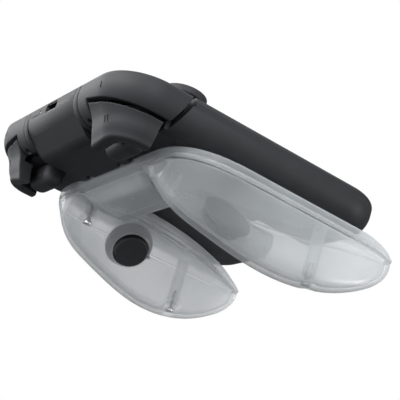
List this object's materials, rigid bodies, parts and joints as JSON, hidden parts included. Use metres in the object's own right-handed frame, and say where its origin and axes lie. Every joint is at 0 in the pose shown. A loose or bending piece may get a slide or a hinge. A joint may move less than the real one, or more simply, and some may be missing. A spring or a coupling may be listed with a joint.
{
  "type": "pair of motion controllers on a charging grip",
  "caption": "Two slim motion controllers docked on a charging grip with frosted translucent handles, shoulder buttons, triggers, sticks and back buttons.",
  "frame": {"origin": "middle of the part's box in X and Y, at the lowest point of the handles", "axes": "+X to the player's right, +Y towards the shoulder buttons, +Z out of the face with the sticks"},
  "size_m": [0.1116, 0.124, 0.0509],
  "materials": {
    "cell_wrap": "film wrap",
    "circuit_board": "solder mask",
    "dark_button": "satin",
    "dark_casing": "fine matte texture",
    "frosted_shell": "frosted, translucent, smoky",
    "inner_plastic": "moulded",
    "light_window": "clear amber",
    "steel": "satin",
    "stick_rubber": "soft grip"
  },
  "bodies": {
    "grip": {"grip_back_shell": "frosted_shell", "grip_upper_shell": "frosted_shell", "grip_screws": "steel", "housing_front_cover": "dark_casing", "housing_back_cover": "dark_casing", "usb_port": "steel", "charge_light": "light_window", "grip_board": "circuit_board", "left_rail": "steel", "right_rail": "steel", "left_button_carrier": "inner_plastic", "right_button_carrier": "inner_plastic"},
    "left_controller": {"left_front_cover": "dark_casing", "left_back_cover": "dark_casing", "left_rail_plate": "dark_casing", "left_battery": "cell_wrap", "left_board": "circuit_board", "left_stick_module": "inner_plastic", "left_rumble_motor": "inner_plastic", "left_screws": "steel"},
    "left_shoulder_button": {"left_shoulder_button": "dark_button"},
    "left_trigger": {"left_trigger": "dark_button"},
    "left_release_lever": {"left_release_lever": "dark_button"},
    "left_up_button": {"left_up_button": "dark_button"},
    "left_down_button": {"left_down_button": "dark_button"},
    "left_left_button": {"left_left_button": "dark_button"},
    "left_right_button": {"left_right_button": "dark_button"},
    "left_minus_button": {"left_minus_button": "dark_button"},
    "left_capture_button": {"left_capture_button": "dark_button"},
    "left_side_button_high": {"left_side_button_high": "dark_button"},
    "left_side_button_low": {"left_side_button_low": "dark_button"},
    "left_stick_cradle": {"left_stick_cradle": "inner_plastic"},
    "left_stick_ring": {"left_stick_ring": "inner_plastic"},
    "left_stick_cap": {"left_stick_cap": "stick_rubber"},
    "left_back_button": {"left_back_button": "dark_button"},
    "right_controller": {"right_front_cover": "dark_casing", "right_back_cover": "dark_casing", "right_rail_plate": "dark_casing", "right_battery": "cell_wrap", "right_board": "circuit_board", "right_stick_module": "inner_plastic", "right_rumble_motor": "inner_plastic", "right_screws": "steel"},
    "right_shoulder_button": {"right_shoulder_button": "dark_button"},
    "right_trigger": {"right_trigger": "dark_button"},
    "right_release_lever": {"right_release_lever": "dark_button"},
    "right_upper_button": {"right_upper_button": "dark_button"},
    "right_lower_button": {"right_lower_button": "dark_button"},
    "right_right_button": {"right_right_button": "dark_button"},
    "right_left_button": {"right_left_button": "dark_button"},
    "right_plus_button": {"right_plus_button": "dark_button"},
    "right_home_button": {"right_home_button": "dark_button"},
    "right_side_button_high": {"right_side_button_high": "dark_button"},
    "right_side_button_low": {"right_side_button_low": "dark_button"},
    "right_stick_cradle": {"right_stick_cradle": "inner_plastic"},
    "right_stick_ring": {"right_stick_ring": "inner_plastic"},
    "right_stick_cap": {"right_stick_cap": "stick_rubber"},
    "right_back_button": {"right_back_button": "dark_button"}
  },
  "joints": [
    {"name": "left_undock", "type": "slide", "parent": "grip", "child": "left_controller", "axis": [-1, 0, 0], "range_m": [0, 0.06]},
    {"name": "left_shoulder_press", "type": "hinge", "parent": "left_controller", "child": "left_shoulder_button", "pos_m": [-0.0256, 0.0556, 0.03594], "axis": [0, 0, 1], "range_deg": [0, 2], "stiffness_Nm_per_rad": 1, "springref_deg": -2.29},
    {"name": "left_trigger_pull", "type": "hinge", "parent": "left_controller", "child": "left_trigger", "pos_m": [-0.04619, 0.05319, 0.03194], "axis": [-0.7071, -0.7071, 0], "range_deg": [0, 4.5], "stiffness_Nm_per_rad": 1.5, "springref_deg": -2.86},
    {"name": "left_release_pull", "type": "slide", "parent": "left_controller", "child": "left_release_lever", "axis": [0, -1, 0], "range_m": [0, 0.002], "stiffness_N_per_m": 800, "springref_m": -0.001},
    {"name": "left_up_press", "type": "slide", "parent": "left_controller", "child": "left_up_button", "axis": [0, 0, -1], "range_m": [0, 0.0008], "stiffness_N_per_m": 400, "springref_m": -0.0005},
    {"name": "left_down_press", "type": "slide", "parent": "left_controller", "child": "left_down_button", "axis": [0, 0, -1], "range_m": [0, 0.0008], "stiffness_N_per_m": 400, "springref_m": -0.0005},
    {"name": "left_left_press", "type": "slide", "parent": "left_controller", "child": "left_left_button", "axis": [0, 0, -1], "range_m": [0, 0.0008], "stiffness_N_per_m": 400, "springref_m": -0.0005},
    {"name": "left_right_press", "type": "slide", "parent": "left_controller", "child": "left_right_button", "axis": [0, 0, -1], "range_m": [0, 0.0008], "stiffness_N_per_m": 400, "springref_m": -0.0005},
    {"name": "left_minus_press", "type": "slide", "parent": "left_controller", "child": "left_minus_button", "axis": [0, 0, -1], "range_m": [0, 0.0008], "stiffness_N_per_m": 400, "springref_m": -0.0005},
    {"name": "left_capture_press", "type": "slide", "parent": "left_controller", "child": "left_capture_button", "axis": [0, 0, -1], "range_m": [0, 0.0008], "stiffness_N_per_m": 400, "springref_m": -0.0005},
    {"name": "left_side_high_press", "type": "slide", "parent": "left_controller", "child": "left_side_button_high", "axis": [-1, 0, 0], "range_m": [0, 0.0006], "stiffness_N_per_m": 400, "springref_m": -0.0005},
    {"name": "left_side_low_press", "type": "slide", "parent": "left_controller", "child": "left_side_button_low", "axis": [-1, 0, 0], "range_m": [0, 0.0006], "stiffness_N_per_m": 400, "springref_m": -0.0005},
    {"name": "left_stick_press", "type": "slide", "parent": "left_controller", "child": "left_stick_cradle", "axis": [0, 0, -1], "range_m": [0, 0.0004], "stiffness_N_per_m": 3000, "springref_m": -0.0004},
    {"name": "left_stick_tilt_y", "type": "hinge", "parent": "left_stick_cradle", "child": "left_stick_ring", "pos_m": [-0.0364, 0.0302, 0.03644], "axis": [1, 0, 0], "range_deg": [-18, 18], "stiffness_Nm_per_rad": 0.03},
    {"name": "left_stick_tilt_x", "type": "hinge", "parent": "left_stick_ring", "child": "left_stick_cap", "pos_m": [-0.0364, 0.0302, 0.03644], "axis": [0, 1, 0], "range_deg": [-18, 18], "stiffness_Nm_per_rad": 0.03},
    {"name": "left_back_press", "type": "slide", "parent": "grip", "child": "left_back_button", "axis": [-0.7547, 0, 0.6561], "range_m": [0, 0.0006], "stiffness_N_per_m": 400, "springref_m": -0.0005},
    {"name": "right_undock", "type": "slide", "parent": "grip", "child": "right_controller", "axis": [1, 0, 0], "range_m": [0, 0.06]},
    {"name": "right_shoulder_press", "type": "hinge", "parent": "right_controller", "child": "right_shoulder_button", "pos_m": [0.0256, 0.0556, 0.03594], "axis": [0, 0, -1], "range_deg": [0, 2], "stiffness_Nm_per_rad": 1, "springref_deg": -2.29},
    {"name": "right_trigger_pull", "type": "hinge", "parent": "right_controller", "child": "right_trigger", "pos_m": [0.04619, 0.05319, 0.03194], "axis": [-0.7071, 0.7071, 0], "range_deg": [0, 4.5], "stiffness_Nm_per_rad": 1.5, "springref_deg": -2.86},
    {"name": "right_release_pull", "type": "slide", "parent": "right_controller", "child": "right_release_lever", "axis": [0, -1, 0], "range_m": [0, 0.002], "stiffness_N_per_m": 800, "springref_m": -0.001},
    {"name": "right_upper_press", "type": "slide", "parent": "right_controller", "child": "right_upper_button", "axis": [0, 0, -1], "range_m": [0, 0.0008], "stiffness_N_per_m": 400, "springref_m": -0.0005},
    {"name": "right_lower_press", "type": "slide", "parent": "right_controller", "child": "right_lower_button", "axis": [0, 0, -1], "range_m": [0, 0.0008], "stiffness_N_per_m": 400, "springref_m": -0.0005},
    {"name": "right_right_press", "type": "slide", "parent": "right_controller", "child": "right_right_button", "axis": [0, 0, -1], "range_m": [0, 0.0008], "stiffness_N_per_m": 400, "springref_m": -0.0005},
    {"name": "right_left_press", "type": "slide", "parent": "right_controller", "child": "right_left_button", "axis": [0, 0, -1], "range_m": [0, 0.0008], "stiffness_N_per_m": 400, "springref_m": -0.0005},
    {"name": "right_plus_press", "type": "slide", "parent": "right_controller", "child": "right_plus_button", "axis": [0, 0, -1], "range_m": [0, 0.0008], "stiffness_N_per_m": 400, "springref_m": -0.0005},
    {"name": "right_home_press", "type": "slide", "parent": "right_controller", "child": "right_home_button", "axis": [0, 0, -1], "range_m": [0, 0.0008], "stiffness_N_per_m": 400, "springref_m": -0.0005},
    {"name": "right_side_high_press", "type": "slide", "parent": "right_controller", "child": "right_side_button_high", "axis": [1, 0, 0], "range_m": [0, 0.0006], "stiffness_N_per_m": 400, "springref_m": -0.0005},
    {"name": "right_side_low_press", "type": "slide", "parent": "right_controller", "child": "right_side_button_low", "axis": [1, 0, 0], "range_m": [0, 0.0006], "stiffness_N_per_m": 400, "springref_m": -0.0005},
    {"name": "right_stick_press", "type": "slide", "parent": "right_controller", "child": "right_stick_cradle", "axis": [0, 0, -1], "range_m": [0, 0.0004], "stiffness_N_per_m": 3000, "springref_m": -0.0004},
    {"name": "right_stick_tilt_y", "type": "hinge", "parent": "right_stick_cradle", "child": "right_stick_ring", "pos_m": [0.0364, -0.0025, 0.03644], "axis": [1, 0, 0], "range_deg": [-18, 18], "stiffness_Nm_per_rad": 0.03},
    {"name": "right_stick_tilt_x", "type": "hinge", "parent": "right_stick_ring", "child": "right_stick_cap", "pos_m": [0.0364, -0.0025, 0.03644], "axis": [0, 1, 0], "range_deg": [-18, 18], "stiffness_Nm_per_rad": 0.03},
    {"name": "right_back_press", "type": "slide", "parent": "grip", "child": "right_back_button", "axis": [0.7547, 0, 0.6561], "range_m": [0, 0.0006], "stiffness_N_per_m": 400, "springref_m": -0.0005}
  ]
}
